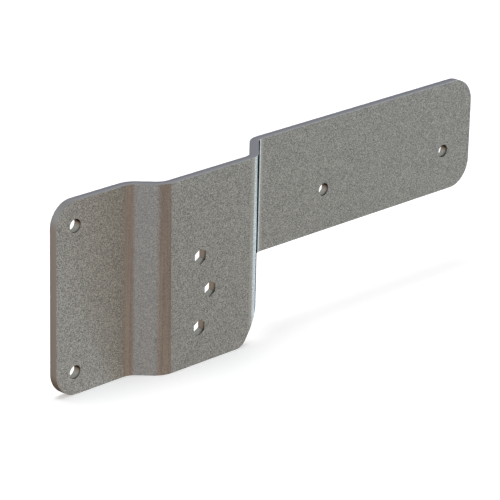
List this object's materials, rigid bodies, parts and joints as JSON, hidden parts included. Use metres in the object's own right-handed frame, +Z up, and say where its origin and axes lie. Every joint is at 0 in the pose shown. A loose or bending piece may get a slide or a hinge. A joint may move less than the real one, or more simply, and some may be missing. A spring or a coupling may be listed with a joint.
{
  "type": "mirror mounting bracket",
  "caption": "Folded steel plate bracket: an end panel, a middle panel stepped forward with hexagonal holes, and a long arm stepped back, with round bolt holes.",
  "frame": {"origin": "midway between the end panel's two bolt holes, on the end panel's back face, which lies against the vehicle", "axes": "+X along the bracket from the end panel to the arm's free end, +Y out of the back faces towards the vehicle, +Z up along the folds"},
  "size_m": [0.3121, 0.0238, 0.1016],
  "materials": {
    "steel": "bare steel plate with a fine even grain and a satin sheen, smoother and slightly browner in the folds and on the cut edges"
  },
  "bodies": {
    "root": {"bracket": "steel"}
  },
  "joints": []
}
